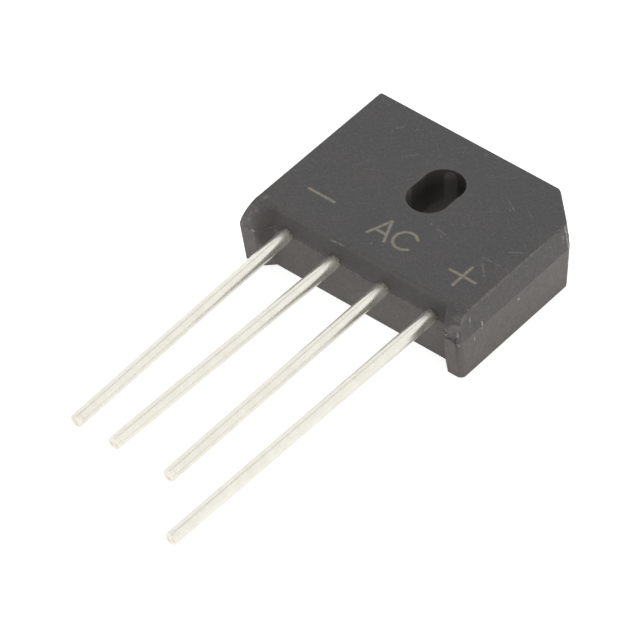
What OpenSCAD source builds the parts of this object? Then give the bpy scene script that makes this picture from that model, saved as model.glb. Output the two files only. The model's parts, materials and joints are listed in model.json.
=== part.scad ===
// Single in-line bridge rectifier: a moulded epoxy body with a screw slot,
// four round leads, and the plates and silicon dice that it seals in.
// Origin: midway between the leads, at the height of the screw slot, in the plane of the back face.
// +Z points to the marked front face, -Y along the leads, +X to the positive lead.

/* [Body] */
// Width of the body at the parting line
body_width = 23.1; // [22.7:0.1:23.7]
// Height of the body at the parting line, from the lead exit face to the top edge
body_height = 16.95; // [16.6:0.05:17.8]
// Thickness of the body, from the back face to the front face
body_thickness = 6.7; // [6.5:0.05:7.1]
// Height of the parting line, and of the leads' axes, above the back face
parting_height = 4.45; // [4.3:0.05:4.6]
// How far the front face's side edges lie inside the parting line
front_side_draft = 0.6; // [0.2:0.05:0.8]
// How far the back face's side edges lie inside the parting line
back_side_draft = 0.12; // [0.05:0.01:0.4]
// How far the top edges of both faces lie inside the parting line
top_draft = 0.25; // [0.1:0.05:0.5]
// Leg of the cut corner that marks the positive lead
corner_cut = 3.4; // [2.8:0.1:4.1]

/* [Feet] */
// Length of the feet beyond the lead exit face, at the parting line
foot_length = 1.4; // [1:0.05:2]
// How far the feet's ends draw back between the parting line and the back face
foot_draft = 0.7; // [0.3:0.05:0.9]
// Half distance between the feet where they leave the lead exit face
foot_root_x = 9.1; // [8.9:0.05:9.4]
// Half distance between the feet at their ends
foot_tip_x = 10.05; // [9.5:0.05:10.4]
// Half distance between the feet where they leave the lead exit face, at the back face
foot_back_root_x = 8.9; // [8.8:0.05:9.2]
// Half distance between the feet at their ends, at the back face
foot_back_tip_x = 9.95; // [9.6:0.05:10.2]
// How far the feet's inner sides lean in from the back face to the parting line
foot_inner_draft = 0.45; // [0.3:0.05:0.6]
// Radius from the front face down to the feet's ends
foot_front_radius = 2; // [1:0.1:2.1]
// Radius of the left foot's outer upright corner
left_foot_radius = 0.1; // [0.05:0.05:0.6]
// Radius of the right foot's outer upright corner
right_foot_radius = 0.6; // [0.1:0.05:0.7]
// How far the lead exit face draws back at the front face
exit_front_draft = 0.2; // [0.05:0.05:0.4]
// How far the lead exit face draws back at the back face
exit_back_draft = 0.32; // [0.1:0.02:0.5]

/* [Screw slot] */
// Height of the slot's centre above the lead exit face
slot_height = 10; // [9.6:0.1:10.2]
// Length of the slot over its round ends
slot_length = 5.8; // [5.2:0.1:6]
// Radius of the slot's round ends
slot_end_radius = 1.9; // [1.7:0.05:2.1]
// Width of the slot between its round ends
slot_width = 3.7; // [3.2:0.1:3.8]
// Distance of the slot's centre from the body's middle, towards the positive lead
slot_offset = 0.2; // [0:0.05:0.3]
// How far the slot's round ends stand aside from its centre, to opposite sides
slot_end_shift = 0.04; // [0:0.01:0.08]

/* [Leads] */
// Distance from lead to lead
lead_pitch = 5.08; // [5:0.02:5.2]
// Diameter of the lead wire
lead_diameter = 1.25; // [1.1:0.05:1.3]
// Length of the negative and AC leads outside the exit face
lead_length = 27.5; // [20:0.5:30]
// Length of the positive lead outside the exit face
positive_lead_length = 32.7; // [20:0.1:36]
// Sideways lean of the negative lead, in degrees
negative_lean = 1.2; // [-2:0.1:2]
// Sideways lean of the left AC lead, in degrees
ac_left_lean = -1.1; // [-2:0.1:2]
// Sideways lean of the right AC lead, in degrees
ac_right_lean = 0.2; // [-2:0.1:2]
// Sideways lean of the positive lead, in degrees
positive_lean = -0.7; // [-2:0.1:2]
// Bevel around the cut end of a lead
lead_bevel = 0.12; // [0.05:0.01:0.3]
// How much thinner in radius the wire's root is than the tinned wire
root_taper = 0.035; // [0.01:0.005:0.05]
// Length of the tapered root outside the exit face
root_length = 0.3; // [0.2:0.05:0.6]
// Width of the flattened inner end of a lead
paddle_width = 1.6; // [1.3:0.1:1.7]
// Length of the flattened inner end of a lead that lies on its plate
paddle_length = 2.8; // [1.5:0.1:3.2]
// How far the flattening cuts into the wire's underside
paddle_flat = 0.1; // [0.05:0.01:0.2]
// Epoxy between the exit face and the flattened end
paddle_cover = 0.15; // [0.1:0.05:0.4]
// Length over which the flattened end runs into the wire's root
paddle_lap = 0.3; // [0.2:0.05:0.5]

/* [Sealed parts] */
// Thickness of the connection plates
plate_thickness = 0.5; // [0.3:0.05:0.6]
// Epoxy between the exit face and the plates
exit_cover = 1.5; // [1.2:0.1:1.8]
// Epoxy between the plates and the body's sides
edge_cover = 2; // [1.8:0.1:2.2]
// Epoxy between the plates and the screw slot
slot_cover = 1; // [0.8:0.05:1.1]
// Width of the strap that passes above the screw slot
strap_width = 1; // [0.7:0.05:1.2]
// Gap between plates that lie side by side
plate_gap = 0.3; // [0.2:0.05:0.4]
// Length of the slope that joins a plate's raised tab to its low part
ramp_length = 0.5; // [0.3:0.05:0.6]
// Edge length of a silicon die
die_size = 2.5; // [1.8:0.1:2.6]
// Thickness of a silicon die
die_thickness = 0.3; // [0.2:0.05:0.4]

/* [Hidden] */
$fn = 64;

// How far a cut runs past a face
past = 1;
// How far a corner's cylinder stands proud of the two faces that it rounds
corner_blend = 0.01;

epoxy = [0.26, 0.25, 0.25];
tinned = [0.86, 0.85, 0.82];
copper = [0.80, 0.50, 0.34];
silicon = [0.38, 0.39, 0.45];

// Body levels along Y
exit_y = -slot_height;
top_y = exit_y + body_height;
foot_y = exit_y - foot_length;
// Half widths along X
half_parting = body_width / 2;
half_front = half_parting - front_side_draft;
half_back = half_parting - back_side_draft;

// Levels of the sealed parts along Z
lead_radius = lead_diameter / 2;
root_radius = lead_radius - root_taper;
plate_high_top = parting_height - root_radius + paddle_flat;
plate_high = plate_high_top - plate_thickness;
die_level = plate_high - die_thickness;
plate_low = die_level - plate_thickness;
step_height = plate_high - plate_low;
// The flattened end keeps the wire's section
paddle_thickness = PI * pow(root_radius, 2) / paddle_width;

// Places of the sealed parts in plan
outer_lead_x = 1.5 * lead_pitch;
inner_lead_x = 0.5 * lead_pitch;
plate_start = exit_y + exit_cover;
plate_side = half_back - edge_cover;
stripe_end = -slot_length / 2 - slot_cover;
strap_start = slot_length / 2 + slot_cover;
plate_end = strap_start + strap_width;
slot_side = slot_offset + max(slot_end_radius + slot_end_shift, slot_width / 2) + slot_cover;
tab_inner = outer_lead_x - paddle_width / 2;
tab_end = plate_start + paddle_length;
plate_outer = tab_inner - ramp_length - plate_gap;
pad_inner = inner_lead_x - paddle_width / 2;
die_x = (slot_side + plate_outer) / 2;
low_die_y = (plate_start + stripe_end) / 2;
high_die_y = strap_start + strap_width / 2 - die_size;
// The plates reach past the upper dice as far as past their sides
die_margin = (plate_outer - slot_side - die_size) / 2;
ac_plate_end = high_die_y + die_size / 2 + die_margin;
high_pad_start = high_die_y - die_size / 2 - die_margin;

// Extrudes a Y-Z outline along X, centred on X = 0
module along_x(length) {
    rotate([90, 0, 90])
        linear_extrude(height = length, center = true)
            children();
}

// Extrudes an X-Z outline along Y, centred on Y = 0
module along_y(length) {
    rotate([90, 0, 0])
        linear_extrude(height = length, center = true)
            children();
}

// Front view of the drafted sides
module side_outline() {
    polygon([[-half_back, 0], [half_back, 0], [half_parting, parting_height],
             [half_front, body_thickness], [-half_front, body_thickness], [-half_parting, parting_height]]);
}

// Side view: drafted top edge, feet's ends and the radius down from the front face
module end_outline() {
    radius_y = foot_y + foot_front_radius;
    radius_z = body_thickness - foot_front_radius;
    difference() {
        polygon([[foot_y + foot_draft, 0], [top_y - top_draft, 0], [top_y, parting_height],
                 [top_y - top_draft, body_thickness], [foot_y, body_thickness], [foot_y, parting_height]]);
        difference() {
            translate([foot_y - past, radius_z])
                square([foot_front_radius + past, foot_front_radius + past]);
            translate([radius_y, radius_z])
                circle(r = foot_front_radius);
        }
    }
}

// The cut corner, drafted like the sides
module corner_outline(limit) {
    polygon([[-body_width, 0], [limit - back_side_draft, 0], [limit, parting_height],
             [limit - top_draft, body_thickness], [-body_width, body_thickness]]);
}

// What is cut off a foot's outer corner, along an edge that leans by the two drafts.
// It passes through the corner at the parting line and is kept between two levels.
module foot_corner(radius, end_lean, side_lean, low, high) {
    axis_inset = radius - corner_blend;
    reach = 2 * body_thickness;
    intersection() {
        translate([half_parting, foot_y, parting_height])
            rotate([end_lean, side_lean, 0])
                translate([-axis_inset, axis_inset, 0])
                    difference() {
                        translate([0, -reach, -reach])
                            cube([reach, reach, 2 * reach]);
                        cylinder(r = radius, h = 3 * reach, center = true);
                    }
        translate([0, foot_y - reach, low])
            cube([body_width, 2 * reach, high - low]);
    }
}

// Both halves of a foot's outer corner, on the right
module foot_corner_halves(radius) {
    front_rise = body_thickness - parting_height;
    foot_corner(radius, atan2(foot_draft, parting_height), atan2(back_side_draft, parting_height),
                -past, parting_height);
    foot_corner(radius, 0, -atan2(front_side_draft, front_rise), parting_height, body_thickness + past);
}

module foot_corners() {
    foot_corner_halves(right_foot_radius);
    mirror([1, 0, 0])
        foot_corner_halves(left_foot_radius);
}

// What the drafted back half of the right foot's inner side leaves free
module foot_inner_cut() {
    run_x = foot_back_tip_x - foot_back_root_x;
    run_y = foot_length - foot_draft + exit_back_draft;
    reach = 2 * body_thickness;
    translate([foot_back_tip_x, foot_y + foot_draft, 0])
        rotate([0, 0, -atan2(run_y, run_x)])
            rotate([atan2(foot_inner_draft, parting_height), 0, 0])
                translate([-reach, -reach, -reach])
                    cube([2 * reach, reach, 2 * reach]);
}

// The hollow between the feet, up to the drafted lead exit face
module exit_hollow() {
    slope = (foot_tip_x - foot_root_x) / foot_length;
    outer = foot_tip_x + slope * past;
    inner = foot_root_x - slope * past;
    intersection() {
        along_x(2 * body_width)
            polygon([[foot_y - past, -past], [exit_y + exit_back_draft, -past],
                     [exit_y + exit_back_draft, 0], [exit_y, parting_height],
                     [exit_y + exit_front_draft, body_thickness],
                     [exit_y + exit_front_draft, body_thickness + past],
                     [foot_y - past, body_thickness + past]]);
        union() {
            translate([0, 0, -2 * past])
                linear_extrude(height = body_thickness + 4 * past)
                    polygon([[-outer, foot_y - past], [outer, foot_y - past],
                             [inner, exit_y + past], [-inner, exit_y + past]]);
            foot_inner_cut();
            mirror([1, 0, 0])
                foot_inner_cut();
        }
    }
}

// The slot: two round ends joined by a slightly narrower middle
module screw_slot() {
    end_offset = slot_length / 2 - slot_end_radius;
    translate([slot_offset, 0, -past]) {
        for (side = [-1, 1])
            translate([side * slot_end_shift, side * end_offset, 0])
                cylinder(r = slot_end_radius, h = body_thickness + 2 * past);
        translate([-slot_width / 2, -end_offset, 0])
            cube([slot_width, 2 * end_offset, body_thickness + 2 * past]);
    }
}

module body_outside() {
    corner_limit = (half_parting + top_y - corner_cut) * cos(45);
    difference() {
        intersection() {
            along_y(4 * body_height)
                side_outline();
            along_x(2 * body_width)
                end_outline();
            rotate([0, 0, 45])
                along_y(4 * body_height)
                    corner_outline(corner_limit);
        }
        exit_hollow();
        foot_corners();
        screw_slot();
    }
}

module moulded_body() {
    color(epoxy)
        difference() {
            body_outside();
            sealed_parts();
        }
}

// A round wire along Z, from its tapered root to the bevel at its cut end
module wire(length) {
    root_end = -paddle_cover - paddle_lap;
    rotate_extrude()
        polygon([[0, root_end], [root_radius, root_end], [lead_radius, root_length],
                 [lead_radius, length - lead_bevel], [lead_radius - lead_bevel, length], [0, length]]);
}

// One lead: a round wire that leans about its exit point, with a flattened inner end
module lead(x, length, lean) {
    color(tinned)
        translate([x, exit_y, parting_height]) {
            translate([-paddle_width / 2, paddle_cover, paddle_flat - root_radius])
                cube([paddle_width, exit_cover + paddle_length - paddle_cover, paddle_thickness]);
            rotate([90, 0, lean])
                wire(length);
        }
}

module negative_lead() {
    lead(-outer_lead_x, lead_length, negative_lean);
}

module ac_lead_left() {
    lead(-inner_lead_x, lead_length, ac_left_lean);
}

module ac_lead_right() {
    lead(inner_lead_x, lead_length, ac_right_lean);
}

module positive_lead() {
    lead(outer_lead_x, positive_lead_length, positive_lean);
}

// Section of a plate whose raised tab ramps down to the low level, along its first axis
module stepped_section(tab_start, ramp_start, low_end) {
    polygon([[tab_start, step_height], [ramp_start, step_height], [ramp_start + ramp_length, 0],
             [low_end, 0], [low_end, plate_thickness], [ramp_start + ramp_length, plate_thickness],
             [ramp_start, step_height + plate_thickness], [tab_start, step_height + plate_thickness]]);
}

// Common anode plate: raised under the negative lead, low under both AC plates
module negative_plate() {
    color(copper)
        translate([0, (plate_start + stripe_end) / 2, plate_low])
            along_y(stripe_end - plate_start)
                stepped_section(-plate_side, -tab_inner, plate_outer);
}

// Common cathode plate: raised under the positive lead, then low around the slot
module positive_plate() {
    color(copper) {
        translate([(tab_inner + plate_side) / 2, 0, plate_low])
            along_x(plate_side - tab_inner)
                stepped_section(plate_start, tab_end, high_die_y);
        translate([0, 0, plate_low])
            linear_extrude(height = plate_thickness)
                difference() {
                    union() {
                        translate([-plate_outer, strap_start])
                            square([plate_outer + plate_side, plate_end - strap_start]);
                        translate([-plate_outer, high_pad_start])
                            square([plate_outer - slot_side, plate_end - high_pad_start]);
                        translate([slot_side, high_pad_start])
                            square([plate_side - slot_side, plate_end - high_pad_start]);
                    }
                    translate([plate_side, plate_end])
                        rotate([0, 0, 45])
                            square(corner_cut * cos(45), center = true);
                }
    }
}

// AC plate on one side of the slot, over one die of each DC plate
module ac_plate(side) {
    color(copper)
        translate([0, 0, plate_high])
            linear_extrude(height = plate_thickness)
                mirror([side < 0 ? 1 : 0, 0])
                    union() {
                        translate([pad_inner, plate_start])
                            square([plate_outer - pad_inner, stripe_end - plate_start]);
                        translate([slot_side, plate_start])
                            square([plate_outer - slot_side, ac_plate_end - plate_start]);
                    }
}

module ac_plate_left() {
    ac_plate(-1);
}

module ac_plate_right() {
    ac_plate(1);
}

module die(x, y) {
    color(silicon)
        translate([x - die_size / 2, y - die_size / 2, die_level])
            cube([die_size, die_size, die_thickness]);
}

module die_negative_left() {
    die(-die_x, low_die_y);
}

module die_negative_right() {
    die(die_x, low_die_y);
}

module die_positive_left() {
    die(-die_x, high_die_y);
}

module die_positive_right() {
    die(die_x, high_die_y);
}

module sealed_parts() {
    negative_lead();
    ac_lead_left();
    ac_lead_right();
    positive_lead();
    negative_plate();
    ac_plate_left();
    ac_plate_right();
    positive_plate();
    die_negative_left();
    die_negative_right();
    die_positive_left();
    die_positive_right();
}

moulded_body();
negative_lead();
ac_lead_left();
ac_lead_right();
positive_lead();
negative_plate();
ac_plate_left();
ac_plate_right();
positive_plate();
die_negative_left();
die_negative_right();
die_positive_left();
die_positive_right();
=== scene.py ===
"""Looks of an in-line bridge rectifier: moulded case, tinned leads, copper plates, silicon dice."""
import json
import math

import bmesh
import bpy
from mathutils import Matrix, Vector, noise


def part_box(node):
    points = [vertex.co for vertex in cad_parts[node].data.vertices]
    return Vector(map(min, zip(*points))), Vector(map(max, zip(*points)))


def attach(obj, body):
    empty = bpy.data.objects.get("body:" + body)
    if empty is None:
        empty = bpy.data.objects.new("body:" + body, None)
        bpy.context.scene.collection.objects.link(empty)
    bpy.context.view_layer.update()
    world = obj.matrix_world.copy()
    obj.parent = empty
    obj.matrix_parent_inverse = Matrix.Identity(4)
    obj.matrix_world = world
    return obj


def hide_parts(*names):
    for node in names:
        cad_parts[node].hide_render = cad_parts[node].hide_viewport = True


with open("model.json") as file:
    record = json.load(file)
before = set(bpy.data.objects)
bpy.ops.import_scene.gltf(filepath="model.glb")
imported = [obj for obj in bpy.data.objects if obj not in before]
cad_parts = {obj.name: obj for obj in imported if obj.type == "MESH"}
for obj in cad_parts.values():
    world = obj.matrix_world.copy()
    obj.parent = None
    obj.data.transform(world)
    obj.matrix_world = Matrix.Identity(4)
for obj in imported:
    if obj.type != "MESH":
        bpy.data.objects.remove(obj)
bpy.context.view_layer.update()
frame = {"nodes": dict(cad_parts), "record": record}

MM = 0.001
CASE_LOW, CASE_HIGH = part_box("moulded_body")
FRONT_Z = CASE_HIGH.z / MM
TOP_Y = CASE_HIGH.y / MM
HALF_WIDTH = CASE_HIGH.x / MM
FOOT_Y = CASE_LOW.y / MM
PINS = {m["name"]: m for m in frame["record"]["mounts"] if m["kind"] == "pin"}
LEAD_PIN = {
    "negative_lead": "negative_pin",
    "ac_lead_left": "ac_left_pin",
    "ac_lead_right": "ac_right_pin",
    "positive_lead": "positive_pin",
}
PARTING_Z = PINS["negative_pin"]["pos_m"][2] / MM
# Of the case, in millimetres: the plane that the leads leave by, the cut corner, the slot's middle
EXIT_Y = -10.0
CORNER_CUT = 3.4
SLOT_OFFSET = 0.2


# ---------------------------------------------------------------- camera, light, floor

AZIMUTH = math.radians(38.94)
ELEVATION = math.radians(44.40)
DISTANCE = 486.8 * MM
FIELD_OF_VIEW = math.radians(6.2156)
TARGET = Vector((-1.990, -12.583, 0)) * MM
# The dome's light on the object: its level, its tilt and colour, and what the horizon adds
DOME_LIGHT = 0.545
DOME_TILT = (-0.35, 0.25, 0.0)
DOME_COLOUR = (0.96, 0.98, 1.0)
HORIZON_LIGHT = 1.3
HORIZON_FALL = 6.0
# The dome as the camera and metal see it: white, with a gap between two sideways leans of the ray
WHITE = (1.0, 1.0, 1.0)
DOME_SEEN = 1.0
GAP_SEEN = 0.30
GAP_LEFT, GAP_RIGHT, GAP_SOFTNESS = -0.40, -0.18, 0.08
GAP_FADE_LOW, GAP_FADE_HIGH = 0.3, 0.5
FLOOR_HALF_SIDE = 1200 * MM
FLOOR_COLOUR = (0.80, 0.785, 0.77, 1.0)
FLOOR_GLOW = 0.72
FLOOR_GLOW_TO_METAL = 0.38


def make_camera():
    back = Vector((math.sin(AZIMUTH) * math.cos(ELEVATION),
                   -math.cos(AZIMUTH) * math.cos(ELEVATION),
                   math.sin(ELEVATION)))
    data = bpy.data.cameras.new("camera")
    data.angle = FIELD_OF_VIEW
    data.clip_start = DISTANCE / 10
    data.clip_end = DISTANCE * 10
    camera = bpy.data.objects.new("camera", data)
    camera.location = TARGET + back * DISTANCE
    camera.rotation_mode = "QUATERNION"
    camera.rotation_quaternion = (-back).to_track_quat("-Z", "Y")
    bpy.context.scene.collection.objects.link(camera)
    bpy.context.scene.camera = camera


def area_lamp(name, place, size, level, colour):
    """A square softbox at place, in millimetres, that faces the case and shows in no reflection.
    It lights a face turned towards it as much as a dome of strength level does."""
    data = bpy.data.lights.new(name, "AREA")
    data.size = size * MM
    data.energy = level * (math.pi * Vector(place).length * MM) ** 2
    data.color = colour
    lamp = bpy.data.objects.new(name, data)
    lamp.location = Vector(place) * MM
    lamp.rotation_mode = "QUATERNION"
    lamp.rotation_quaternion = (-Vector(place)).to_track_quat("-Z", "Y")
    lamp.visible_glossy = False
    bpy.context.scene.collection.objects.link(lamp)


def make_world():
    """A dim dome to matt surfaces, brighter behind on the left and along the horizon.
    The camera, metal and glass see it white, with one darker gap that runs along the leads."""
    world = bpy.data.worlds.new("studio")
    world.use_nodes = True
    shader = Shader("studio_world", world.node_tree)
    way = shader.add("TexCoord", output="Generated")
    tilt = shader.add("VectorMath", {0: way, 1: DOME_TILT}, output="Value", operation="DOT_PRODUCT")
    sideways = shader.add("SeparateXYZ", {0: way}, output=0)
    upward = shader.math("MAXIMUM", shader.add("SeparateXYZ", {0: way}, output=2), 0.05)
    low = shader.math("POWER", shader.math("SUBTRACT", 1.0, upward), HORIZON_FALL)
    light = shader.math("MULTIPLY", shader.math("ADD", tilt, 1.0), DOME_LIGHT)
    light = shader.math("ADD", light, shader.math("MULTIPLY", low, HORIZON_LIGHT))
    lean = shader.math("DIVIDE", sideways, upward)
    left = shader.fade(lean, GAP_LEFT, GAP_LEFT + GAP_SOFTNESS)
    right = shader.fade(lean, GAP_RIGHT, GAP_RIGHT - GAP_SOFTNESS)
    gap = shader.math("MULTIPLY", left, right)
    gap = shader.math("MULTIPLY", gap, shader.fade(upward, GAP_FADE_LOW, GAP_FADE_HIGH))
    seen = shader.fade(gap, 0.0, 1.0, DOME_SEEN, GAP_SEEN)
    path = shader.tree.nodes.new("ShaderNodeLightPath")
    direct = shader.math("MAXIMUM", path.outputs["Is Camera Ray"], path.outputs["Is Glossy Ray"])
    direct = shader.math("MAXIMUM", direct, path.outputs["Is Transmission Ray"])
    strength = shader.add("Mix", {0: direct, 2: light, 3: seen})
    colour = shader.mix(direct, DOME_COLOUR, WHITE)
    background = shader.add("Background", {"Color": colour, "Strength": strength})
    out = shader.tree.nodes.new("ShaderNodeOutputWorld")
    shader.tree.links.new(background, out.inputs["Surface"])
    bpy.context.scene.world = world


def make_floor():
    """A light table: a pale floor that glows, so that the camera sees it white with a soft shadow."""
    shader = Shader("floor_white")
    path = shader.tree.nodes.new("ShaderNodeLightPath")
    metal = shader.math("MAXIMUM", path.outputs["Is Glossy Ray"], path.outputs["Is Transmission Ray"])
    strength = shader.fade(metal, 0.0, 1.0, FLOOR_GLOW, FLOOR_GLOW_TO_METAL)
    glow = shader.add("Emission", {"Strength": strength})
    matt = shader.add("BsdfDiffuse", {"Color": FLOOR_COLOUR})
    both = shader.tree.nodes.new("ShaderNodeAddShader")
    shader.tree.links.new(glow, both.inputs[0])
    shader.tree.links.new(matt, both.inputs[1])
    shader.finish(both.outputs[0])
    side = FLOOR_HALF_SIDE
    mesh = bpy.data.meshes.new("floor")
    corners = [(-side, -side, 0), (side, -side, 0), (side, side, 0), (-side, side, 0)]
    mesh.from_pydata(corners, [], [(0, 1, 2, 3)])
    mesh.materials.append(shader.material)
    floor = bpy.data.objects.new("floor", mesh)
    bpy.context.scene.collection.objects.link(floor)


# ---------------------------------------------------------------- materials

class Shader:
    """One node tree, of a material or the world. Positions are in millimetres in the CAD frame."""

    def __init__(self, name, tree=None):
        if tree is None:
            self.material = bpy.data.materials.new(name)
            self.material.use_nodes = True
            tree = self.material.node_tree
        self.tree = tree
        self.tree.nodes.clear()

    def add(self, kind, inputs=None, output=0, **settings):
        """Adds a node, links or sets its inputs, and returns one output socket."""
        node = self.tree.nodes.new("ShaderNode" + kind)
        for name, value in settings.items():
            setattr(node, name, value)
        for name, value in (inputs or {}).items():
            if isinstance(value, bpy.types.NodeSocket):
                self.tree.links.new(value, node.inputs[name])
            else:
                node.inputs[name].default_value = value
        return node.outputs[output]

    def position(self):
        place = self.add("TexCoord", output="Object")
        return self.add("VectorMath", {0: place, "Scale": 1 / MM}, operation="SCALE")

    def math(self, operation, a, b):
        return self.add("Math", {0: a, 1: b}, operation=operation)

    def noise(self, place, scale, detail=3.0, roughness=0.55):
        inputs = {"Vector": place, "Scale": scale, "Detail": detail, "Roughness": roughness}
        return self.add("TexNoise", inputs)

    def stretched(self, place, stretch):
        return self.add("VectorMath", {0: place, 1: stretch}, operation="MULTIPLY")

    def fade(self, value, low, high, at_low=0.0, at_high=1.0):
        """Maps value from low..high to at_low..at_high, smoothly and clamped."""
        inputs = {"Value": value, "From Min": low, "From Max": high, "To Min": at_low, "To Max": at_high}
        return self.add("MapRange", inputs, interpolation_type="SMOOTHSTEP")

    def mix(self, share, a, b):
        """Mixes two colours, each a socket or three numbers."""
        node = self.tree.nodes.new("ShaderNodeMix")
        node.data_type = "RGBA"
        for index, value in ((0, share), (6, a), (7, b)):
            if isinstance(value, bpy.types.NodeSocket):
                self.tree.links.new(value, node.inputs[index])
            elif index == 0:
                node.inputs[index].default_value = value
            else:
                node.inputs[index].default_value = (*value, 1.0)
        return node.outputs[2]

    def paint(self, colour, mask, paint, amount):
        """Mixes a paint into the colour where the mask is, up to that amount."""
        return self.mix(self.math("MULTIPLY", mask, amount), colour, paint)

    def bump(self, height, distance, normal=None):
        """A bump of that depth in millimetres, on top of another."""
        inputs = {"Height": height, "Distance": distance * MM, "Strength": 1.0}
        if normal is not None:
            inputs["Normal"] = normal
        return self.add("Bump", inputs)

    def surface(self, **inputs):
        """A Principled shader with those inputs, named as its sockets are in lower case."""
        names = {key.replace("_", " ").title(): value for key, value in inputs.items()}
        self.finish(self.add("BsdfPrincipled", names))

    def finish(self, socket):
        out = self.tree.nodes.new("ShaderNodeOutputMaterial")
        self.tree.links.new(socket, out.inputs["Surface"])


def stroke_group():
    """A node group: distance from a point to a straight stroke, in half widths of the stroke."""
    group = bpy.data.node_groups.new("stroke_distance", "ShaderNodeTree")
    for name in ("Point", "Start", "End"):
        group.interface.new_socket(name, in_out="INPUT", socket_type="NodeSocketVector")
    group.interface.new_socket("Half width", in_out="INPUT", socket_type="NodeSocketFloat")
    group.interface.new_socket("Distance", in_out="OUTPUT", socket_type="NodeSocketFloat")
    nodes, links = group.nodes, group.links
    given = nodes.new("NodeGroupInput")
    result = nodes.new("NodeGroupOutput")

    def vector(operation, a, b=None):
        node = nodes.new("ShaderNodeVectorMath")
        node.operation = operation
        links.new(a, node.inputs[0])
        if b is not None:
            links.new(b, node.inputs["Scale" if operation == "SCALE" else 1])
        return node.outputs["Value" if operation in ("DOT_PRODUCT", "LENGTH") else "Vector"]

    def scalar(operation, a, b, clamp=False):
        node = nodes.new("ShaderNodeMath")
        node.operation = operation
        node.use_clamp = clamp
        links.new(a, node.inputs[0])
        links.new(b, node.inputs[1])
        return node.outputs[0]

    along = vector("SUBTRACT", given.outputs["End"], given.outputs["Start"])
    out = vector("SUBTRACT", given.outputs["Point"], given.outputs["Start"])
    reach = vector("DOT_PRODUCT", along, along)
    share = scalar("DIVIDE", vector("DOT_PRODUCT", out, along), reach, clamp=True)
    gap = vector("LENGTH", vector("SUBTRACT", out, vector("SCALE", along, share)))
    links.new(scalar("DIVIDE", gap, given.outputs["Half width"]), result.inputs["Distance"])
    return group


def nearest_stroke(shader, place, strokes):
    """Distance to the nearest of the strokes, in its half widths.
    A stroke is (start, end, half width)."""
    nearest = None
    for start, end, half_width in strokes:
        inputs = {"Point": place, "Start": start, "End": end, "Half width": half_width}
        distance = shader.add("Group", inputs, node_tree=STROKE)
        nearest = distance if nearest is None else shader.math("MINIMUM", nearest, distance)
    return nearest


def on_front(x, y):
    return (x, y, FRONT_Z)


# The marks on the front face: widths, centres, lengths and corners, in millimetres
MARK_HALF_WIDTH = 0.135
MINUS_CENTRE, MINUS_LENGTH = (-6.86, -6.32), 2.65
PLUS_CENTRE, PLUS_LENGTH = (8.14, -6.61), 2.58
A_APEX, A_FEET, A_BAR = (-0.37, -5.12), ((-1.20, -7.42), (0.58, -7.42)), 0.68
C_CENTRE, C_RADII = (1.92, -6.29), (1.04, 1.09)
C_OPENING, C_PIECES = math.radians(40), 9


def minus_strokes():
    x, y = MINUS_CENTRE
    half = MINUS_LENGTH / 2
    return [(on_front(x - half, y), on_front(x + half, y), MARK_HALF_WIDTH)]


def plus_strokes():
    x, y = PLUS_CENTRE
    half = PLUS_LENGTH / 2
    return [(on_front(x - half, y), on_front(x + half, y), MARK_HALF_WIDTH),
            (on_front(x, y - half), on_front(x, y + half), MARK_HALF_WIDTH)]


def letter_a_strokes():
    apex = Vector(A_APEX)
    feet = [Vector(foot) for foot in A_FEET]
    bar = [apex.lerp(foot, A_BAR) for foot in feet]
    strokes = [(on_front(*apex), on_front(*foot), MARK_HALF_WIDTH) for foot in feet]
    return strokes + [(on_front(*bar[0]), on_front(*bar[1]), MARK_HALF_WIDTH)]


def letter_c_strokes():
    step = (2 * math.pi - 2 * C_OPENING) / C_PIECES
    points = []
    for index in range(C_PIECES + 1):
        angle = C_OPENING + index * step
        points.append(on_front(C_CENTRE[0] + C_RADII[0] * math.cos(angle),
                               C_CENTRE[1] + C_RADII[1] * math.sin(angle)))
    return [(a, b, MARK_HALF_WIDTH) for a, b in zip(points, points[1:])]


def scratch_strokes():
    """Faint pale scratches across the front."""
    fine, broad = 0.05, 0.09
    return [
        (on_front(8.45, -4.40), on_front(9.50, -5.45), broad),
        (on_front(7.94, -3.82), on_front(9.75, -3.72), fine),
        (on_front(9.82, -3.12), on_front(10.57, -3.42), fine),
        (on_front(9.30, -2.05), on_front(10.40, -1.30), fine),
        (on_front(-7.10, 4.00), on_front(-6.75, 4.55), broad),
        (on_front(3.10, -3.55), on_front(4.30, -3.60), fine),
        (on_front(-4.60, 1.50), on_front(-3.70, 2.60), fine),
        (on_front(5.20, 3.10), on_front(6.70, 2.20), fine),
    ]


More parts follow.
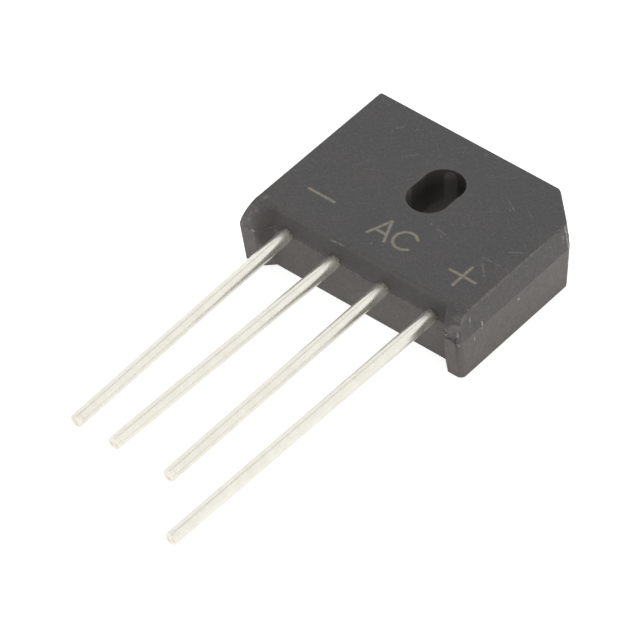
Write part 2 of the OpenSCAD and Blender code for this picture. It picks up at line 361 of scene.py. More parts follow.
def nick_strokes():
    """Pale nicks where the case was knocked: the right side, the feet, the cut corner, the exit face."""
    dot, fine, broad = 0.10, 0.05, 0.075
    return [
        ((-3.06, -9.80, 6.44), (-1.70, -9.80, 6.60), fine),
        ((11.45, -8.23, 4.95), (11.54, -8.33, 4.15), broad),
        ((11.15, -9.47, 5.95), (11.35, -9.70, 5.22), fine),
        ((11.53, -9.31, 4.05), (11.50, -9.25, 3.30), fine),
        ((11.53, -3.50, 3.80), (11.53, -3.35, 3.70), dot),
        ((11.42, -11.22, 4.27), (11.42, -11.22, 4.17), dot),
        ((11.21, -11.20, 5.29), (11.21, -11.20, 5.20), dot),
        ((10.16, -11.35, 5.06), (10.16, -11.35, 4.96), dot),
        ((10.20, -11.35, 4.73), (11.30, -11.30, 4.40), fine),
        ((10.98, 3.50, 6.55), (11.12, 3.40, 6.10), dot),
        ((11.14, 3.45, 5.95), (11.30, 3.40, 5.40), dot),
        ((11.30, 3.40, 5.30), (11.48, 3.40, 4.60), dot),
        ((11.18, 3.00, 5.90), (11.33, 2.90, 5.30), fine),
        ((-10.48, -10.42, 6.60), (-10.40, -10.35, 6.60), dot),
        ((-10.04, -11.36, 4.42), (-10.20, -11.36, 4.48), dot),
        ((-11.30, -11.36, 4.55), (-11.20, -11.36, 4.55), dot),
        ((-9.15, -10.05, 4.50), (-8.90, -9.99, 4.58), fine),
        ((-9.10, -9.95, 6.62), (-7.90, -9.90, 6.62), fine),
        ((9.05, -10.00, 3.60), (9.10, -10.00, 1.40), fine),
    ]


def slot_axis_stroke():
    """The slot's middle line seen from the front, just wider than the slot."""
    return [((SLOT_OFFSET, -1.0, 0.0), (SLOT_OFFSET, 1.0, 0.0), 1.92)]


def slot_lit_strokes():
    """Painted light: a paler band down the far end of the slot's wall where light falls in, and its paler
    lower half, lit from below.
    """
    return [
        ((-0.35, 2.70, 5.90), (-0.35, 2.70, 1.00), 0.60),
        ((-1.70, 0.60, 1.60), (-0.60, 2.70, 2.40), 1.05),
        ((-0.60, 2.70, 2.40), (0.30, 2.90, 2.60), 1.00),
    ]


# The left foot's inner side: the direction across it, and where it lies along that direction
FOOT_SIDE, FOOT_SIDE_AT = (1.0, -0.68, 0.0), -2.3


def painted_shade_strokes():
    """Painted shade: darker epoxy along the recess above the leads, and in the left foot's inner corner.
    """
    upper = (FRONT_Z + PARTING_Z) / 2
    return [
        ((-9.0, EXIT_Y, upper), (9.0, EXIT_Y, upper), 0.95),
        ((-9.45, -10.50, 6.1), (-9.45, -10.50, 3.2), 0.75),
    ]


def scuff_and_lit_strokes():
    """Broad paler areas: painted light on the round fronts of the feet, and rubbed wear along the front's
    right and top edges.
    """
    return [
        ((10.35, -11.30, 5.30), (11.10, -11.10, 5.90), 0.42),
        ((10.55, -10.70, 6.50), (11.20, -10.20, 6.40), 0.36),
        (on_front(11.10, -9.00), on_front(11.05, -6.00), 0.22),
        (on_front(11.05, -5.50), on_front(11.05, 0.50), 0.16),
        (on_front(-7.20, 6.70), on_front(-6.10, 6.70), 0.16),
        (on_front(-10.60, -10.10), on_front(-10.20, -9.20), 0.22),
        ((-10.90, -11.20, 5.20), (-10.50, -10.75, 6.35), 0.50),
    ]


def hairlines(shader, place, turn):
    """Very fine parallel rub marks, at an angle to the case's length."""
    turned = shader.add("VectorRotate", {"Vector": place, "Angle": turn}, rotation_type="Z_AXIS")
    thin = shader.noise(shader.stretched(turned, (0.30, 8.0, 1.0)), 1.0, 2.0, 0.5)
    return shader.fade(thin, 0.64, 0.74)


# The epoxy's front half and its back half, the back one painted paler as if lit from below, each as the
# colours of its darker and its paler patches
FRONT_EPOXY = ((0.066, 0.064, 0.067), (0.077, 0.072, 0.071))
BACK_EPOXY_LIT_FROM_BELOW = ((0.094, 0.084, 0.078), (0.105, 0.094, 0.086))
# What lies in or on the epoxy, and the light and shade painted on it
PALE_MOTTLE = (0.100, 0.093, 0.088)
PALE_FLECK, DARK_FLECK = (0.125, 0.117, 0.110), (0.034, 0.033, 0.034)
DARK_GRAIN = (0.028, 0.027, 0.027)
RUB_MARK = (0.135, 0.130, 0.125)
DUST = (0.26, 0.25, 0.23)
LASER_MARK = (0.280, 0.245, 0.192)
# The scuff colour paints both rub wear on the front's edges and painted light on the feet's round fronts
SCRATCH, NICK, SCUFF_AND_PAINTED_LIGHT = (0.30, 0.29, 0.27), (0.36, 0.35, 0.33), (0.155, 0.145, 0.136)
# Painted shade: the darker colour for the recess above the leads and the left foot's inner corner
PAINTED_SHADE = (0.030, 0.027, 0.024)
# The slot: a paler rim ring, painted shade for its wall, and painted light for a band and the lower half
# of that wall
SLOT_RIM, SLOT_PAINTED_SHADE, SLOT_PAINTED_LIGHT = (0.120, 0.113, 0.105), (0.010, 0.008, 0.007), (0.130, 0.114, 0.100)
WORN_EDGE = (0.20, 0.19, 0.18)
CHIPPED = ((0.050, 0.047, 0.045), (0.150, 0.143, 0.135))
# How far strokes wander, in millimetres
SHAKE = 0.07


def moulded_tone(shader, place, mottle, fleck, grain):
    """The bare epoxy: its two halves, the back one below the parting line painted paler as if lit from
    below, soft patches, flecks and grain, and fine rub marks.
    """
    cloud = shader.noise(place, 0.16, 4.0, 0.6)
    level = shader.add("SeparateXYZ", {0: place}, output=2)
    front = shader.mix(shader.fade(cloud, 0.35, 0.65), *FRONT_EPOXY)
    back = shader.mix(shader.fade(cloud, 0.35, 0.65), *BACK_EPOXY_LIT_FROM_BELOW)
    # below the parting line the back half is painted paler: painted light from below
    colour = shader.mix(shader.fade(level, PARTING_Z - 0.04, PARTING_Z + 0.02), back, front)
    colour = shader.mix(shader.fade(mottle, 0.40, 0.75, 0.0, 0.45), colour, PALE_MOTTLE)
    colour = shader.mix(shader.fade(fleck, 0.50, 0.72, 0.0, 0.50), colour, PALE_FLECK)
    colour = shader.mix(shader.fade(fleck, 0.28, 0.46, 0.45, 0.0), colour, DARK_FLECK)
    colour = shader.mix(shader.fade(grain, 0.3, 0.7, 0.5, 0.0), colour, DARK_GRAIN)
    rub = shader.math("MAXIMUM", hairlines(shader, place, 0.6), hairlines(shader, place, -0.95))
    return shader.paint(colour, rub, RUB_MARK, 0.35)


def dust_specks(shader, place):
    """A mask of small round specks of many sizes, in about a third of the cells of a cell pattern."""
    cells = shader.tree.nodes.new("ShaderNodeTexVoronoi")
    cells.inputs["Scale"].default_value = 1.25
    shader.tree.links.new(place, cells.inputs["Vector"])
    chance = shader.add("SeparateColor", {0: cells.outputs["Color"]})
    size = shader.fade(chance, 0.6, 1.0, 0.02, 0.11)
    near = shader.math("SUBTRACT", size, cells.outputs["Distance"])
    rare = shader.math("GREATER_THAN", chance, 0.70)
    return shader.math("MULTIPLY", shader.fade(near, 0.0, 0.04), rare)


def shaken_place(shader, place):
    """The place shifted a little this way and that, so that straight strokes wander."""
    wander = shader.add("TexNoise", {"Vector": place, "Scale": 3.0}, output="Color")
    wander = shader.add("VectorMath", {0: wander, "Scale": 2 * SHAKE}, operation="SCALE")
    shaken = shader.add("VectorMath", {0: place, 1: wander}, operation="ADD")
    return shader.add("VectorMath", {0: shaken, 1: (-SHAKE, -SHAKE, -SHAKE)}, operation="ADD")


def painted_shade_mask(shader, place):
    """Where the painted shade strokes are, apart from the left foot's front, left of its inner side."""
    across = shader.add("VectorMath", {0: place, 1: FOOT_SIDE}, output="Value", operation="DOT_PRODUCT")
    off_foot_front = shader.fade(across, FOOT_SIDE_AT - 0.09, FOOT_SIDE_AT - 0.03)
    shaded = shader.fade(nearest_stroke(shader, place, painted_shade_strokes()), 1.25, 0.55)
    return shader.math("MULTIPLY", shaded, off_foot_front)


def slot_shading(shader, place, colour, uneven_share):
    """Adds a paler ring on the slot's rim, painted shade that darkens its wall, and painted light on
    parts of that wall.
    """
    flat = shader.stretched(place, (1.0, 1.0, 0.0))
    away = nearest_stroke(shader, flat, slot_axis_stroke())
    rim = shader.math("MULTIPLY", shader.fade(away, 1.0, 1.01), shader.fade(away, 1.06, 1.02))
    colour = shader.paint(colour, rim, SLOT_RIM, uneven_share)
    # painted shade that darkens the slot's wall
    colour = shader.paint(colour, shader.fade(away, 1.01, 0.995), SLOT_PAINTED_SHADE, 0.60)
    # painted light on a band and on the lower half of the slot's wall
    lit_band = shader.fade(nearest_stroke(shader, place, slot_lit_strokes()), 1.15, 0.75)
    return shader.paint(colour, lit_band, SLOT_PAINTED_LIGHT, 0.6)


def worn_and_chipped(shader, place, colour):
    """Adds the pale wear of the rounded edges and the broken epoxy in the gouges."""
    edge = shader.add("Attribute", attribute_name="edge", output="Fac")
    worn = shader.fade(shader.noise(place, 1.9, 5.0, 0.75), 0.52, 0.68)
    colour = shader.paint(colour, shader.math("MULTIPLY", worn, edge), WORN_EDGE, 0.55)
    chip = shader.add("Attribute", attribute_name="chip", output="Fac")
    chipped = shader.mix(shader.fade(shader.noise(place, 4.0, 4.0, 0.7), 0.40, 0.65), *CHIPPED)
    return shader.mix(chip, colour, chipped)


def epoxy_material():
    """Dark moulded epoxy: mottled, grained and dusty, with laser marks, scratches and worn edges, and
    with painted light and shade.
    """
    shader = Shader("epoxy_compound")
    place = shader.position()
    mottle = shader.noise(place, 1.3, 5.0, 0.65)
    fleck = shader.noise(place, 4.2, 3.0, 0.6)
    grain = shader.noise(place, 9.0, 4.0, 0.7)
    colour = moulded_tone(shader, place, mottle, fleck, grain)
    colour = shader.paint(colour, dust_specks(shader, place), DUST, 0.60)

    marks = minus_strokes() + plus_strokes() + letter_a_strokes() + letter_c_strokes()
    burnt = shader.fade(nearest_stroke(shader, place, marks), 1.50, 0.45)
    patchy = shader.fade(shader.noise(place, 5.0, 3.0, 0.6), 0.3, 0.7, 0.60, 1.0)
    colour = shader.paint(colour, burnt, LASER_MARK, patchy)

    shaken = shaken_place(shader, place)
    broken = shader.fade(shader.noise(place, 5.0, 2.0, 0.6), 0.36, 0.6)
    scratch = shader.fade(nearest_stroke(shader, shaken, scratch_strokes()), 1.7, 0.3)
    scratch = shader.math("MULTIPLY", scratch, broken)
    colour = shader.paint(colour, scratch, SCRATCH, 0.32)
    nick = shader.fade(nearest_stroke(shader, shaken, nick_strokes()), 1.6, 0.4)
    nick = shader.math("MULTIPLY", nick, broken)
    colour = shader.paint(colour, nick, NICK, 0.80)
    # painted light on the feet's round fronts, and rub wear along the front's right and top edges
    scuff_and_lit = shader.fade(nearest_stroke(shader, shaken, scuff_and_lit_strokes()), 1.35, 0.5)
    uneven_share = shader.fade(shader.noise(place, 3.4, 5.0, 0.75), 0.40, 0.62, 0.10, 0.75)
    colour = shader.paint(colour, scuff_and_lit, SCUFF_AND_PAINTED_LIGHT, uneven_share)
    # painted shade in the recess above the leads and in the left foot's inner corner
    colour = shader.paint(colour, painted_shade_mask(shader, place), PAINTED_SHADE, 0.48)
    colour = slot_shading(shader, place, colour, uneven_share)
    colour = worn_and_chipped(shader, place, colour)

    rough = shader.fade(mottle, 0.3, 0.7, 0.50, 0.62)
    rough = shader.math("ADD", rough, shader.math("MULTIPLY", burnt, 0.15))
    normal = shader.bump(shader.noise(place, 0.7, 3.0, 0.5), 0.02)
    normal = shader.bump(fleck, 0.012, normal)
    normal = shader.bump(grain, 0.010, normal)
    marked = shader.math("MAXIMUM", burnt, shader.math("MAXIMUM", scratch, nick))
    normal = shader.bump(shader.math("SUBTRACT", 1.0, marked), 0.012, normal)
    shader.surface(base_color=colour, roughness=rough, normal=normal)
    return shader.material


FLASH_TONES = ((0.075, 0.072, 0.070), (0.30, 0.29, 0.27))


def flash_material():
    """The paler, thin skin of epoxy that stands along the parting line."""
    shader = Shader("epoxy_flash")
    place = shader.position()
    tone = shader.fade(shader.noise(place, 2.2, 4.0, 0.7), 0.35, 0.7)
    colour = shader.mix(tone, *FLASH_TONES)
    normal = shader.bump(shader.noise(place, 12.0, 3.0, 0.6), 0.01)
    rough = shader.fade(tone, 0.0, 1.0, 0.5, 0.7)
    shader.surface(base_color=colour, roughness=rough, normal=normal)
    return shader.material


TIN, DULL_TIN, TIN_STREAK = (0.89, 0.865, 0.785), (0.85, 0.82, 0.74), (0.74, 0.72, 0.66)
# Painted shade on the wire where it leaves the case
ROOT_PAINTED_SHADE = (0.20, 0.18, 0.13)
BARE_COPPER = (0.66, 0.50, 0.38)


def tin_material():
    """Dipped tin on drawn wire: long streaks, soft blotches, pits, painted shade in dark specks where it
    leaves the case, and bare copper specks at the cut."""
    shader = Shader("dipped_tin")
    place = shader.position()
    streak = shader.noise(shader.stretched(place, (9.0, 0.35, 9.0)), 1.0, 4.0, 0.6)
    blotch = shader.noise(place, 0.8, 4.0, 0.6)
    pits = shader.noise(place, 11.0, 3.0, 0.6)
    colour = shader.mix(shader.fade(blotch, 0.35, 0.65), TIN, DULL_TIN)
    colour = shader.mix(shader.fade(streak, 0.55, 0.75, 0.0, 0.35), colour, TIN_STREAK)
    along = shader.add("SeparateXYZ", {0: place}, output=1)
    # painted shade: dark specks on the wire just outside the exit face
    root_shade = shader.fade(shader.noise(place, 3.6, 4.0, 0.7), 0.45, 0.60, 0.0, 0.75)
    root_shade = shader.math("MULTIPLY", root_shade, shader.fade(along, EXIT_Y - 0.45, EXIT_Y - 0.05))
    colour = shader.mix(root_shade, colour, ROOT_PAINTED_SHADE)
    cut = shader.add("Attribute", attribute_name="cut", output="Fac")
    bare = shader.fade(shader.noise(place, 2.5, 3.0, 0.6), 0.45, 0.6)
    colour = shader.paint(colour, shader.math("MULTIPLY", cut, bare), BARE_COPPER, 0.5)

    at_root = shader.fade(along, EXIT_Y - 2.4, EXIT_Y - 0.3)
    metal = shader.fade(at_root, 0.0, 1.0, 0.88, 0.80)
    rough = shader.fade(streak, 0.3, 0.7, 0.20, 0.28)
    rough = shader.math("ADD", rough, shader.fade(pits, 0.5, 0.8, 0.0, 0.10))
    rough = shader.math("ADD", rough, shader.math("MULTIPLY", at_root, 0.06))
    normal = shader.bump(streak, 0.003)
    normal = shader.bump(blotch, 0.012, normal)
    normal = shader.bump(pits, 0.0015, normal)
    shader.surface(base_color=colour, metallic=metal, roughness=rough, normal=normal)
    return shader.material


CLEAN_COPPER, OXIDISED_COPPER = (0.86, 0.50, 0.34), (0.62, 0.33, 0.22)


def copper_material():
    """Stamped copper strip: rolled streaks and faint oxide."""
    shader = Shader("rolled_copper")
    place = shader.position()
    rolled = shader.noise(shader.stretched(place, (0.6, 8.0, 8.0)), 1.0, 4.0, 0.6)
    oxide = shader.noise(place, 0.9, 4.0, 0.6)
    colour = shader.mix(shader.fade(oxide, 0.4, 0.7), CLEAN_COPPER, OXIDISED_COPPER)
    rough = shader.fade(rolled, 0.3, 0.7, 0.28, 0.42)
    shader.surface(base_color=colour, metallic=1.0, roughness=rough, normal=shader.bump(rolled, 0.004))
    return shader.material


SILICON_TONES = ((0.20, 0.21, 0.25), (0.30, 0.31, 0.35))


def silicon_material():
    """Sawn silicon with a grey metallised face."""
    shader = Shader("sawn_silicon")
    place = shader.position()
    sawn = shader.noise(shader.stretched(place, (12.0, 1.0, 1.0)), 1.0, 3.0, 0.6)
    colour = shader.mix(shader.fade(sawn, 0.35, 0.65), *SILICON_TONES)
    rough = shader.fade(sawn, 0.3, 0.7, 0.25, 0.4)
    shader.surface(base_color=colour, metallic=0.6, roughness=rough, normal=shader.bump(sawn, 0.002))
    return shader.material


# ---------------------------------------------------------------- mesh helpers

def add_piece(name, mesh, material):
    """Links a piece that rides with the part, in one material."""
    mesh.materials.clear()
    mesh.materials.append(material)
    piece = bpy.data.objects.new(name, mesh)
    bpy.context.scene.collection.objects.link(piece)
    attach(piece, "root")
    return piece


def evaluated_mesh(piece):
    """The piece's mesh with its modifiers applied."""
    graph = bpy.context.evaluated_depsgraph_get()
    return bpy.data.meshes.new_from_object(piece.evaluated_get(graph), depsgraph=graph)


def wobble(place, scale, amount, seed):
    """A smooth random length in millimetres, that depends on the place."""
    return noise.noise(Vector(place) * scale + Vector((seed, seed * 1.7, seed * 2.3))) * amount


# ---------------------------------------------------------------- moulded case

# What counts as an edge of the CAD case, as one plane face of it, and as a sharp edge of the finished one
SHARP, FLAT, CREASE = math.radians(30), math.radians(0.5), math.radians(38)
# The CAD mesh's points closer than this, in millimetres, are one
MERGE = 0.015
# How wide edges are rounded, in millimetres
FRONT_EDGE, BACK_EDGE, EXIT_EDGE, CORNER_EDGE = 0.13, 0.08, 0.20, 0.38
WIDEST_BEVEL = CORNER_EDGE
BEVEL_SEGMENTS = 4
# Faces of the finished case larger than this, in square millimetres, are plane
PLANE_AREA = 3.5
# What lies this close to a plane of the case, in millimetres, is on it
ON_PLANE = 0.01
# An edge is the slot's, the exit face's or a lead hole's if it is no further than this from the middle
NEAR_SLOT_X, NEAR_SLOT_Y = 2.2, 3.1
NEAR_EXIT_X, NEAR_EXIT_Y = 9.0, 0.4
NEAR_HOLE_Z = 0.7
# A box about the sealed hollow, in which the plates and dice lie
HOLLOW_LOW_Z, HOLLOW_HIGH_Z = 2.4, 5.3
HOLLOW_TOP_Y, HOLLOW_HALF_WIDTH = 5.2, 9.6
# Material indices that mark a face's kind until its masks are stored
PLAIN, ROUNDED, BROKEN = 0, 1, 2
# Gouges in the right foot's worn front corner: centre and half sizes
FOOT_GOUGES = [
    ((10.98, -11.42, 4.86), (0.30, 0.22, 0.26)),
    ((10.45, -11.45, 4.72), (0.42, 0.15, 0.10)),
    ((11.22, -11.38, 4.50), (0.30, 0.16, 0.10)),
    ((11.32, -11.20, 5.30), (0.13, 0.16, 0.16)),
    ((10.12, -11.42, 5.08), (0.14, 0.17, 0.14)),
    ((10.75, -11.25, 5.75), (0.26, 0.16, 0.13)),
    ((10.90, -10.72, 6.42), (0.22, 0.20, 0.12)),
    ((11.12, -10.30, 6.55), (0.14, 0.24, 0.12)),
]
# Nicks elsewhere: on the front's top edge, the left foot and the front's right edge
EDGE_NICKS = [
    ((-6.75, 6.86, 6.78), (0.40, 0.16, 0.14)),
    ((-10.60, -10.72, 6.55), (0.16, 0.14, 0.10)),
    ((11.02, 2.60, 6.60), (0.14, 0.30, 0.12)),
    ((11.10, -1.40, 6.62), (0.12, 0.34, 0.10)),
    ((11.05, -5.60, 6.64), (0.12, 0.40, 0.09)),
]


def bevel_width(edge):
    """How wide an edge of the case is rounded, from where it lies, in millimetres.
    The slot's and lead holes' edges and most edges of the feet stay as they are."""
    a, b = (v.co / MM for v in edge.verts)
    middle = (a + b) / 2
    at_slot = abs(middle.x - SLOT_OFFSET) < NEAR_SLOT_X and abs(middle.y) < NEAR_SLOT_Y
    at_exit = abs(middle.y - EXIT_Y) < NEAR_EXIT_Y and abs(middle.x) < NEAR_EXIT_X
    at_lead_hole = at_exit and max(abs(a.z - PARTING_Z), abs(b.z - PARTING_Z)) < NEAR_HOLE_Z
    under_foot = middle.y < EXIT_Y - ON_PLANE and middle.z < ON_PLANE
    if at_slot or at_lead_hole or under_foot:
        return 0.0
    if middle.z > FRONT_Z - ON_PLANE:
        return EXIT_EDGE if at_exit else FRONT_EDGE
    if middle.z < ON_PLANE:
        return BACK_EDGE
    return CORNER_EDGE if middle.y > EXIT_Y + NEAR_EXIT_Y else 0.0


def is_outside(face):
    """Whether a face of the case is on its outside, and not on the sealed hollow."""
    for vertex in face.verts:
        x, y, z = vertex.co / MM
        inside_z = HOLLOW_LOW_Z <= z <= HOLLOW_HIGH_Z
        inside_y = EXIT_Y - ON_PLANE <= y <= HOLLOW_TOP_Y
        if not inside_z or not inside_y or abs(x) > HOLLOW_HALF_WIDTH:
            return True
    return False


def weighted_case_mesh():
    """The CAD case as few plane faces, with each outer edge weighted by how wide it is rounded."""
    source = frame["nodes"]["moulded_body"].data
    bm = bmesh.new()
    bm.from_mesh(source)
    bmesh.ops.remove_doubles(bm, verts=bm.verts, dist=MM * MERGE)
    bmesh.ops.dissolve_limit(bm, angle_limit=FLAT, verts=bm.verts, edges=bm.edges)
    weight = bm.edges.layers.float.new("bevel_weight_edge")
    for edge in bm.edges:
        if len(edge.link_faces) != 2 or edge.calc_face_angle(0.0) < SHARP:
            continue
        if all(is_outside(face) for face in edge.link_faces):
            edge[weight] = bevel_width(edge) / WIDEST_BEVEL
    mesh = bpy.data.meshes.new("case_rounding")
    bm.to_mesh(mesh)
    bm.free()
    for index in (PLAIN, ROUNDED, BROKEN):
        mesh.materials.append(bpy.data.materials.new(f"case_{index}"))
    for polygon in mesh.polygons:
        polygon.material_index = PLAIN
    return mesh


def gouge_mesh():
    """Lumpy blobs that break chips out of the case's edges."""
    bm = bmesh.new()
    for seed, (centre, half_sizes) in enumerate(FOOT_GOUGES + EDGE_NICKS):
        made = bmesh.ops.create_icosphere(bm, subdivisions=3, radius=1.0)
        for vertex in made["verts"]:
            way = vertex.co.copy()
            swell = 1 + 0.28 * noise.noise(way * 1.6 + Vector((seed, 0, 0)))
            swell += 0.14 * noise.noise(way * 4.5 + Vector((0, seed, 0)))
            vertex.co = Vector(c + h * w * swell for c, h, w in zip(centre, half_sizes, way)) * MM
    mesh = bpy.data.meshes.new("gouges")
    bm.to_mesh(mesh)
    bm.free()
    for index in (PLAIN, ROUNDED, BROKEN):
        mesh.materials.append(bpy.data.materials.get(f"case_{index}"))
    for polygon in mesh.polygons:
        polygon.material_index = BROKEN
    return mesh


def store_masks(mesh):
    """Writes point attributes for the worn edges and the chips, from the faces' material indices."""
    counts = {name: [0] * len(mesh.vertices) for name in ("all", "edge", "chip")}
    for polygon in mesh.polygons:
        for index in polygon.vertices:
            counts["all"][index] += 1
            counts["edge"][index] += polygon.material_index == ROUNDED
            counts["chip"][index] += polygon.material_index == BROKEN
    for name in ("edge", "chip"):
        attribute = mesh.attributes.new(name, "FLOAT", "POINT")
        for index, count in enumerate(counts[name]):
            attribute.data[index].value = float(count == counts["all"][index])
    for polygon in mesh.polygons:
        polygon.material_index = PLAIN


def make_case(material):
    """The CAD case with its outer edges rounded as bevel_width says, and chips broken out of it."""
    mesh = weighted_case_mesh()
    rough = bpy.data.objects.new("case_rounding", mesh)
    bpy.context.scene.collection.objects.link(rough)
    bevel = rough.modifiers.new("round", "BEVEL")
    bevel.limit_method = "WEIGHT"
    bevel.width = WIDEST_BEVEL * MM
    bevel.segments = BEVEL_SEGMENTS
    bevel.material = ROUNDED
    bevel.use_clamp_overlap = False
    cutter = bpy.data.objects.new("gouges", gouge_mesh())
    bpy.context.scene.collection.objects.link(cutter)
    cut = rough.modifiers.new("gouge", "BOOLEAN")
    cut.operation = "DIFFERENCE"
    cut.solver = "EXACT"
    cut.use_self = True
    cut.object = cutter
    done = evaluated_mesh(rough)
    store_masks(done)
    bpy.data.objects.remove(rough)
    bpy.data.objects.remove(cutter)
    case = add_piece("moulded_case", done, material)
    done.set_sharp_from_angle(angle=CREASE)
    for polygon in done.polygons:
        polygon.use_smooth = polygon.area < PLANE_AREA * MM ** 2
    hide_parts("moulded_body")


# ---------------------------------------------------------------- parting-line flash

# The ridge's spacing of points along it, how far its foot is sunk and half its foot's thickness
FLASH_STEP, FLASH_SINK, FLASH_HALF = 0.12, 0.02, 0.035
LEAST_RISE = 0.004
LEAD_CLEARANCE = 0.75
# How far out the inner side of each foot starts at the exit face, and ends at the foot's end
FOOT_ROOT, FOOT_TIP = 9.1, 10.05


def flash_ribbon(bm, start, end, outward, height, gaps, seed):
    """A thin ridge from start to end that stands outward, with a chipped, uneven crest."""
    start, end, outward = Vector(start), Vector(end), Vector(outward).normalized()
    count = max(2, round((end - start).length / FLASH_STEP))
    rows = []
    for index in range(count + 1):
        place = start.lerp(end, index / count)
        if any(abs(place.x - x) < LEAD_CLEARANCE for x in gaps):
            rows.append(None)
            continue
        rise = height * (0.45 + wobble(place, 0.9, 0.9, seed)) + wobble(place, 4.0, 0.35, seed) * height
        rise = max(LEAST_RISE, rise)
        foot = place - outward * FLASH_SINK
        lift = Vector((0, 0, FLASH_HALF))
        tip = place + outward * rise + Vector((0, 0, wobble(place, 2.0, 0.03, seed + 5)))
        rows.append([bm.verts.new(p * MM) for p in (foot - lift, tip, foot + lift)])
    for a, b in zip(rows, rows[1:]):
        if a is None or b is None:
            continue
        bm.faces.new((a[0], b[0], b[1], a[1]))
        bm.faces.new((a[1], b[1], b[2], a[2]))
        bm.faces.new((a[2], b[2], b[0], a[0]))
    for index, row in enumerate(rows):
        before = rows[index - 1] if index else None
        after = rows[index + 1] if index < count else None
        if row is not None and before is None and after is not None:
            bm.faces.new((row[0], row[1], row[2]))
        if row is not None and after is None and before is not None:
            bm.faces.new((row[2], row[1], row[0]))


def make_flash(material):
    """The flash along the exit face between the leads, the cut corner, and both feet."""
    z = PARTING_Z
    leads = [pin["pos_m"][0] / MM for pin in PINS.values()]
    cut_x, cut_y = HALF_WIDTH - CORNER_CUT, TOP_Y - CORNER_CUT
    bm = bmesh.new()
    flash_ribbon(bm, (-FOOT_ROOT, EXIT_Y, z), (FOOT_ROOT, EXIT_Y, z), (0, -1, 0), 0.075, leads, 3.0)
    cut_start, cut_end = (cut_x + 0.25, TOP_Y - 0.25, z), (HALF_WIDTH - 0.2, cut_y + 0.2, z)
    flash_ribbon(bm, cut_start, cut_end, (1, 1, 0), 0.09, [], 7.0)
    for side, seed in ((-1, 11.0), (1, 13.0)):
        root = (side * FOOT_ROOT, EXIT_Y - 0.05, z)
        tip = (side * FOOT_TIP, FOOT_Y + 0.12, z)
        flash_ribbon(bm, root, tip, (-side * 0.82, -0.57, 0), 0.035, [], seed)
        inner = (side * (FOOT_TIP + 0.15), FOOT_Y, z)
        outer = (side * (HALF_WIDTH - 0.45), FOOT_Y, z)
        flash_ribbon(bm, inner, outer, (0, -1, 0), 0.05, [], seed + 1)
    bmesh.ops.recalc_face_normals(bm, faces=bm.faces)
    mesh = bpy.data.meshes.new("parting_flash")
    bm.to_mesh(mesh)
    bm.free()
    add_piece("parting_flash", mesh, material)


# ---------------------------------------------------------------- leads

# Points around a wire, and the spacing of its rings
SIDES = 40
RING_STEP = 0.55
FIRST_EVEN_RING = 0.8
# The root: how far it reaches inside and outside the exit face, and how much thinner it gets
ROOT_INSIDE, ROOT_OUTSIDE, ROOT_TAPER = 0.45, 0.3, 0.035
ROOT_RINGS = (-ROOT_INSIDE, -0.2, 0.0, 0.1, 0.2, ROOT_OUTSIDE, 0.4)
# The flattened inner end: where it starts and ends inside the exit face, and its cross-section
PADDLE_START, PADDLE_END = 0.6, 4.3
PADDLE_HALF_WIDTH = 0.8
PADDLE_UNDER, PADDLE_OVER = -0.49, 0.193
PADDLE_SQUARENESS = 0.18
PADDLE_ROUND, PADDLE_END_SCALE = 0.04, 0.96
PADDLE_STEPS = 5
# How much thinner than the CAD wire the tinned one is on average
TIN_SHORT = 0.004
# The tip: how long it is, and the neck that the cutter pressed in: its place, depth and width
TIP_LENGTH = 0.62
TIP_NECK, NECK_DEPTH, NECK_WIDTH = 0.44, 0.045, 0.06
NECK_RINGS = (0.56, 0.50, 0.44, 0.38, 0.32, 0.24, 0.18)
# The rounded cut end: how far short of the tip each ring is, its share of the radius, and how bare it is
TIP_RINGS = [(0.13, 0.975, 0.0), (0.085, 0.93, 0.0), (0.05, 0.86, 0.2), (0.025, 0.76, 0.5),
             (0.008, 0.62, 0.8), (0.0, 0.45, 1.0), (0.01, 0.22, 1.0)]
TIP_DIMPLE = 0.015
# How much longer than its pin mount, which ends at the bevel of the cut end, the CAD wire is
CUT_BEVEL = 0.12
WIRE_CREASE = math.radians(50)


def wire_radius(distance, length, radius, seed):
    """Radius of the tinned wire at a distance outside the exit face."""
    if distance < ROOT_OUTSIDE:
        return radius - ROOT_TAPER * (ROOT_OUTSIDE - distance) / (ROOT_OUTSIDE + ROOT_INSIDE)
    place = (0, distance, 0)
    lumps = wobble(place, 0.45, 0.011, seed) + wobble(place, 1.6, 0.005, seed + 3)
    grown = radius - TIN_SHORT + lumps
    left = length - distance
    if left < TIP_LENGTH:
        neck = math.exp(-((left - TIP_NECK) / NECK_WIDTH) ** 2)
        grown -= NECK_DEPTH * neck
    return min(radius, grown)


def ring_stations(length):
    """Distances outside the exit face at which the wire has a ring of points."""
    stations = list(ROOT_RINGS)
    even = length - TIP_LENGTH - FIRST_EVEN_RING
    rings = round(even / RING_STEP)
    stations += [FIRST_EVEN_RING + even * index / rings for index in range(rings + 1)]
    return stations + [length - left for left in NECK_RINGS]


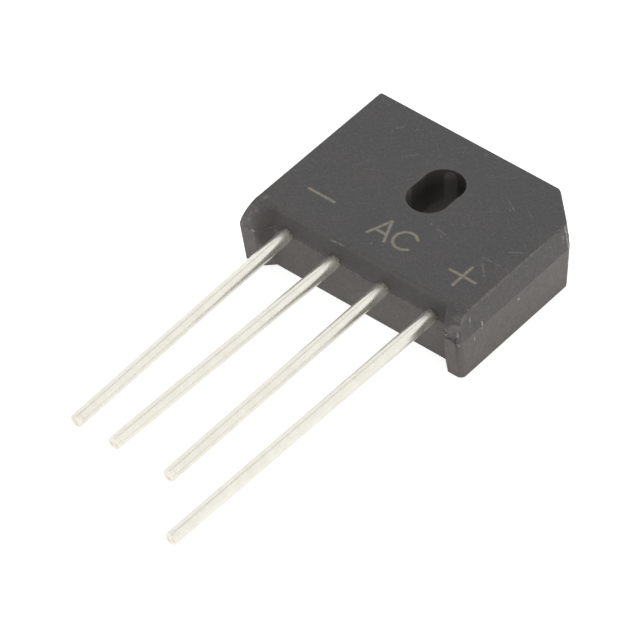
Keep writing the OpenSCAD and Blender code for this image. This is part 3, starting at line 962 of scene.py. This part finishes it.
def lead_mesh(pin, seed):
    """A wire from its flattened inner end to its cut tip, in the CAD frame."""
    way = Vector(pin["axis"])
    radius = pin["dims"]["r_mm"]
    start = Vector(pin["pos_m"]) / MM - way * ROOT_OUTSIDE
    length = pin["dims"]["length_mm"] + ROOT_OUTSIDE + CUT_BEVEL
    side = Vector((-way.y, way.x, 0)).normalized()
    up = Vector((0, 0, 1))
    angles = [2 * math.pi * index / SIDES for index in range(SIDES)]
    bm = bmesh.new()
    cut = bm.verts.layers.float.new("cut")
    rings = []

    def paddle_ring(inside, scale=1.0):
        ring = []
        middle = (PADDLE_OVER + PADDLE_UNDER) / 2
        half = (PADDLE_OVER - PADDLE_UNDER) / 2
        for angle in angles:
            c, s = math.cos(angle), math.sin(angle)
            x = math.copysign(abs(c) ** PADDLE_SQUARENESS, c) * PADDLE_HALF_WIDTH * scale
            z = math.copysign(abs(s) ** PADDLE_SQUARENESS, s) * half * scale + middle
            ring.append(bm.verts.new(Vector((start.x + x, start.y + inside, start.z + z)) * MM))
        rings.append(ring)

    def wire_ring(distance, scale=1.0, mark=0.0):
        size = wire_radius(distance, length, radius, seed) * scale
        ring = []
        for angle in angles:
            edge = size + wobble((math.cos(angle), distance * 0.6, math.sin(angle)), 1.4, 0.004, seed)
            edge = min(edge, radius)
            place = start + way * distance
            place = place + side * edge * math.cos(angle) + up * edge * math.sin(angle)
            vertex = bm.verts.new(place * MM)
            vertex[cut] = mark
            ring.append(vertex)
        rings.append(ring)

    paddle_ring(PADDLE_END, PADDLE_END_SCALE)
    paddle_ring(PADDLE_END - PADDLE_ROUND)
    for index in range(PADDLE_STEPS):
        nearer = (PADDLE_END - PADDLE_START) * (index + 1) / PADDLE_STEPS
        paddle_ring(PADDLE_END - PADDLE_ROUND - nearer)
    for distance in ring_stations(length):
        wire_ring(distance)
    for short, share, bare in TIP_RINGS:
        wire_ring(length - short, share, mark=bare)

    for a, b in zip(rings, rings[1:]):
        for index in range(SIDES):
            after = (index + 1) % SIDES
            bm.faces.new((a[index], a[after], b[after], b[index]))
    bm.faces.new(rings[0])
    centre = bm.verts.new((start + way * (length - TIP_DIMPLE)) * MM)
    centre[cut] = 1.0
    for index in range(SIDES):
        bm.faces.new((rings[-1][index], rings[-1][(index + 1) % SIDES], centre))
    bmesh.ops.recalc_face_normals(bm, faces=bm.faces)
    mesh = bpy.data.meshes.new("lead")
    bm.to_mesh(mesh)
    bm.free()
    for polygon in mesh.polygons:
        polygon.use_smooth = True
    mesh.set_sharp_from_angle(angle=WIRE_CREASE)
    return mesh


def make_leads(material):
    """One tinned wire in the place of each CAD lead."""
    for index, (node, pin) in enumerate(LEAD_PIN.items()):
        mesh = lead_mesh(PINS[pin], 20.0 + 7 * index)
        piece = add_piece(f"tinned_{node}", mesh, material)
        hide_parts(node)


# ---------------------------------------------------------------- sealed parts

def dress_sealed_parts():
    """The plates and dice keep their CAD solids and get their own finish."""
    finishes = {"plate": copper_material(), "die": silicon_material()}
    for name, node in frame["nodes"].items():
        for kind, material in finishes.items():
            if kind in name.split("_"):
                node.data.materials.clear()
                node.data.materials.append(material)


# ---------------------------------------------------------------- the scene

STROKE = stroke_group()
bpy.context.scene.view_settings.view_transform = "Standard"
make_camera()
make_world()
area_lamp("key", place=(-250, 300, 420), size=480, level=0.31, colour=(0.97, 0.985, 1.0))
area_lamp("fill", place=(560, -245, 90), size=360, level=0.56, colour=(1.0, 0.93, 0.85))
make_floor()
make_case(epoxy_material())
make_flash(flash_material())
make_leads(tin_material())
dress_sealed_parts()
